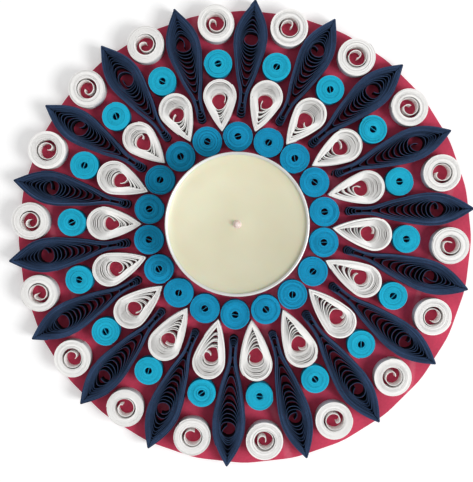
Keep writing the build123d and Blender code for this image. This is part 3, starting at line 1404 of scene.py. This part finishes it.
@dataclass
class Tealight:
    """The candle: a thin drawn cup, its wax and its wick.

    Attributes:
        layout: where it stands.
        sides: facets round the cup and the wax.
        wick_sides: facets round the wick.
        base: the height of the card's top.
        cup_height: the cup's height.
        wall: thickness of the cup's wall and floor.
        lip: how far its rolled lip stands out.
        foot: radius of the bend from its wall to its floor.
        wax_below_lip: from the top of the lip down to where the wax meets the wall.
        wax_rise: how far the wax climbs the wall.
        wax_rise_width: how far from the wall the climb starts.
        wax_hollow: how far the wax sinks between that and the mound.
        wax_mound: how far the wax climbs the wick.
        wax_mound_radius: how far from the wick's middle the climb starts.
        wick_radius: the wick's radius.
        wick_height: how far the wick stands above the lowest wax.
        wick_profile: radius and height of the rings of its stub, as shares of its own.
        wick_foot: radius and height of its metal foot.
        wick_collar: radius and height of the collar that is crimped round it.
    """

    layout: Layout
    sides: int = 128
    wick_sides: int = 24
    base: float = 1.6 * MM
    cup_height: float = 16 * MM
    wall: float = 0.2 * MM
    lip: float = 0.55 * MM
    foot: float = 1.2 * MM
    wax_below_lip: float = 0.8 * MM
    wax_rise: float = 0.5 * MM
    wax_rise_width: float = 3.0 * MM
    wax_hollow: float = 0.3 * MM
    wax_mound: float = 0.35 * MM
    wax_mound_radius: float = 6.0 * MM
    wick_radius: float = 0.8 * MM
    wick_height: float = 2.2 * MM
    wick_profile: tuple[tuple[float, float], ...] = (
        (1.7, 0.06), (1.35, 0.17), (1.05, 0.42), (0.85, 0.88), (0.5, 1.0)
    )
    wick_foot: tuple[float, float] = (6 * MM, 0.5 * MM)
    wick_collar: tuple[float, float] = (1.5 * MM, 2.5 * MM)

    @property
    def centre(self) -> Vector:
        """The middle of the cup's underside."""
        middle = self.layout.ring_centre + self.layout.candle_slide
        return Vector((middle.x, middle.y, self.base))

    @property
    def inner_radius(self) -> float:
        """The cup's inner radius, which the wax fills."""
        return self.layout.cup_radius - self.lip - self.wall

    @property
    def wax_edge(self) -> float:
        """Height above the cup's underside at which the wax starts to climb the wall."""
        return self.cup_height - self.wax_below_lip - self.wax_rise

    @property
    def wax_dip(self) -> float:
        """Height of the lowest place of the wax's top."""
        return self.wax_edge - self.wax_hollow

    def build(self) -> None:
        """Model the three pieces."""
        self.build_cup()
        self.build_wax()
        self.build_wick()

    def build_cup(self) -> None:
        """Model the cup with its rolled lip."""
        radius, inner = self.layout.cup_radius, self.inner_radius
        outer = radius - self.lip
        top, roll = self.cup_height, self.lip / 2
        rings = [(outer - self.foot, 0.0)]
        # The bend from the floor to the wall
        for angle in (30, 60, 90):
            lean = math.radians(angle)
            rings.append((outer - self.foot * (1 - math.sin(lean)), self.foot * (1 - math.cos(lean))))
        rings.append((outer, top - self.lip))
        # The rolled lip, from underneath over its top to its inner side
        for angle in range(-60, 121, 30):
            lean = math.radians(angle)
            rings.append((radius - roll + roll * math.cos(lean), top - roll + roll * math.sin(lean)))
        rings += [(inner, top - roll), (inner, self.foot), (inner - self.foot + self.wall, self.wall)]
        metal = MetalFinish()
        cup = turn_form("cup_shell", self.centre, rings, self.sides)
        finish(cup, metal.material(), smooth_angle=40)
        adopt(cup, "tealight_cup")

    def build_wax(self) -> None:
        """Model the wax, which climbs the cup's wall and the wick a little."""
        radius, edge, dip = self.inner_radius, self.wax_edge, self.wax_dip
        rings = [(radius - self.foot + self.wall, self.wall), (radius, self.foot)]
        rings.append((radius, edge + self.wax_rise))
        # Down from the wall, over the hollow and up the mound
        for share in (0.93, 0.8, 0.6, 0.4, 0.2, 0.0):
            rings.append((radius - self.wax_rise_width * (1 - share), edge + self.wax_rise * share**3))
        flat = radius - self.wax_rise_width
        for share in (0.9, 0.8, 0.7, 0.6, 0.5):
            rings.append((flat * share, dip + self.wax_hollow * (2 * share - 1) ** 2))
        for share in (0.9, 0.75, 0.6, 0.45, 0.3, 0.2):
            reach = self.wax_mound_radius * share
            rings.append((reach, dip + self.wax_mound * (1 + math.cos(math.pi * share)) / 2))
        cast = WaxFinish()
        wax = turn_form("wax_fill", self.centre, rings, self.sides)
        finish(wax, cast.material(), smooth_angle=60)
        adopt(wax, "tealight_wax")

    def build_wick(self) -> None:
        """Model the wick's stub, and its sunk end in its crimped foot."""
        foot_radius, foot_height = self.wick_foot
        collar_radius, collar_height = self.wick_collar
        rings = [(foot_radius, self.wall), (foot_radius, self.wall + foot_height)]
        rings += [(collar_radius, self.wall + foot_height), (collar_radius, self.wall + collar_height)]
        rings += [(self.wick_radius, self.wall + collar_height), (self.wick_radius, self.wax_dip)]
        for share, rise in self.wick_profile:
            rings.append((self.wick_radius * share, self.wax_dip + self.wick_height * rise))
        cotton = CottonFinish()
        wick = turn_form("wick_stub", self.centre, rings, self.wick_sides)
        finish(wick, cotton.material(), smooth_angle=50)
        adopt(wick, "tealight_wick")


@dataclass
class Lamp:
    """A soft square lamp over the piece.

    Attributes:
        name: its name.
        place: where it hangs.
        size: the length of its side.
        power: in watts.
    """

    name: str
    place: Triple
    size: float
    power: float

    def hang(self) -> None:
        """Hang the lamp, turned toward the piece."""
        bpy.ops.object.light_add(type="AREA", location=self.place)
        lamp = bpy.context.object
        lamp.name = self.name
        lamp.data.size = self.size
        lamp.data.energy = self.power
        lamp.rotation_euler = (-lamp.location).to_track_quat("-Z", "Y").to_euler()


@dataclass
class Studio:
    """The pale floor, the soft light and the camera.

    Attributes:
        camera_place: where the camera stands.
        camera_turn: how it is turned from looking straight down, in radians.
        lens: its focal length, in millimetres.
        sensor_width: the width of its sensor, in millimetres.
        clip_start: how near it still sees.
        floor_size: the length of the floor's side.
        floor_colour: the floor's colour.
        floor_lift: how much lighter the camera and reflections see the floor.
        sky: strength of the light from all round.
        lamps: the lamps over the piece.
    """

    camera_place: Vector = Vector((-1.067, 7.449, 296.293)) * MM
    camera_turn: Triple = (-0.028, 0.004, 0.0)
    lens: float = 79.55
    sensor_width: float = 36.0
    clip_start: float = 10 * MM
    floor_size: float = 6.0
    floor_colour: Colour = (232, 232, 232)
    floor_lift: float = 0.3
    sky: float = 0.52
    lamps: tuple[Lamp, ...] = (
        Lamp("key_lamp", place=(0.55, -0.2, 0.7), size=0.35, power=4.8),
        Lamp("top_lamp", place=(-0.16, 0.16, 0.85), size=0.12, power=0.24),
    )

    def build(self) -> None:
        """Set up the floor, the light and the camera."""
        self.build_floor()
        self.build_sky()
        for lamp in self.lamps:
            lamp.hang()
        self.build_camera()

    def build_floor(self) -> None:
        """Lay the floor, which the camera sees a little lighter than the light makes it."""
        bpy.ops.object.select_all(action="DESELECT")
        bpy.ops.mesh.primitive_plane_add(size=self.floor_size)
        floor = bpy.context.object
        floor.name = "floor"
        sheet = NodeSheet("pale_floor")
        sheet.feed(sheet.surface, {"Base Color": linear(self.floor_colour), "Roughness": 0.9})
        path = sheet.add("LightPath").outputs
        seen = sheet.add("Math", {0: path["Is Camera Ray"], 1: path["Is Glossy Ray"]}, operation="MAXIMUM")
        lift = sheet.add("Math", {0: seen.outputs[0], 1: self.floor_lift}, operation="MULTIPLY").outputs[0]
        glow = sheet.add("Emission", {"Strength": lift})
        both = sheet.add("AddShader", {0: sheet.surface.outputs[0], 1: glow.outputs[0]})
        sheet.feed(sheet.output, {"Surface": both.outputs[0]})
        coat(floor, sheet.material)

    def build_sky(self) -> None:
        """Light the piece softly from all round."""
        world = bpy.data.worlds.new("soft_sky")
        bpy.context.scene.world = world
        world.use_nodes = True
        background = world.node_tree.nodes["Background"]
        background.inputs["Color"].default_value = (1, 1, 1, 1)
        background.inputs["Strength"].default_value = self.sky

    def build_camera(self) -> None:
        """Set the camera over the piece, as the photograph was taken."""
        camera = bpy.data.cameras.new("view_from_above")
        camera.lens = self.lens
        camera.sensor_width = self.sensor_width
        camera.clip_start = self.clip_start
        holder = bpy.data.objects.new("view_from_above", camera)
        holder.location = self.camera_place
        holder.rotation_euler = self.camera_turn
        bpy.context.scene.collection.objects.link(holder)
        bpy.context.scene.camera = holder


def main() -> None:
    """Build the whole holder and its studio."""
    logging.basicConfig(level=logging.INFO, format="%(name)s: %(message)s")
    bpy.context.scene.view_settings.view_transform = "Standard"
    Studio().build()
    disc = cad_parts["base_disc"]
    coat(disc, CardFinish().material())
    log.info("%s: the CAD's own mesh, with the card's finish", disc.name)
    layout = Layout()
    sub_assemblies = (
        Tealight(layout),
        TightCoilRing(
            layout,
            node="inner_blue_coils",
            ring=layout.inner_ring,
            coil_radius=layout.inner_coil_radius,
            first_slot=0,
            paper=DEEP_BLUE_PAPER,
        ),
        TightCoilRing(
            layout,
            node="outer_blue_coils",
            ring=layout.outer_ring,
            coil_radius=layout.outer_coil_radius,
            first_slot=0.5,
            paper=BRIGHT_BLUE_PAPER,
        ),
        ShapedRings(layout),
    )
    for sub_assembly in sub_assemblies:
        sub_assembly.build()


if __name__ == "__main__":
    main()
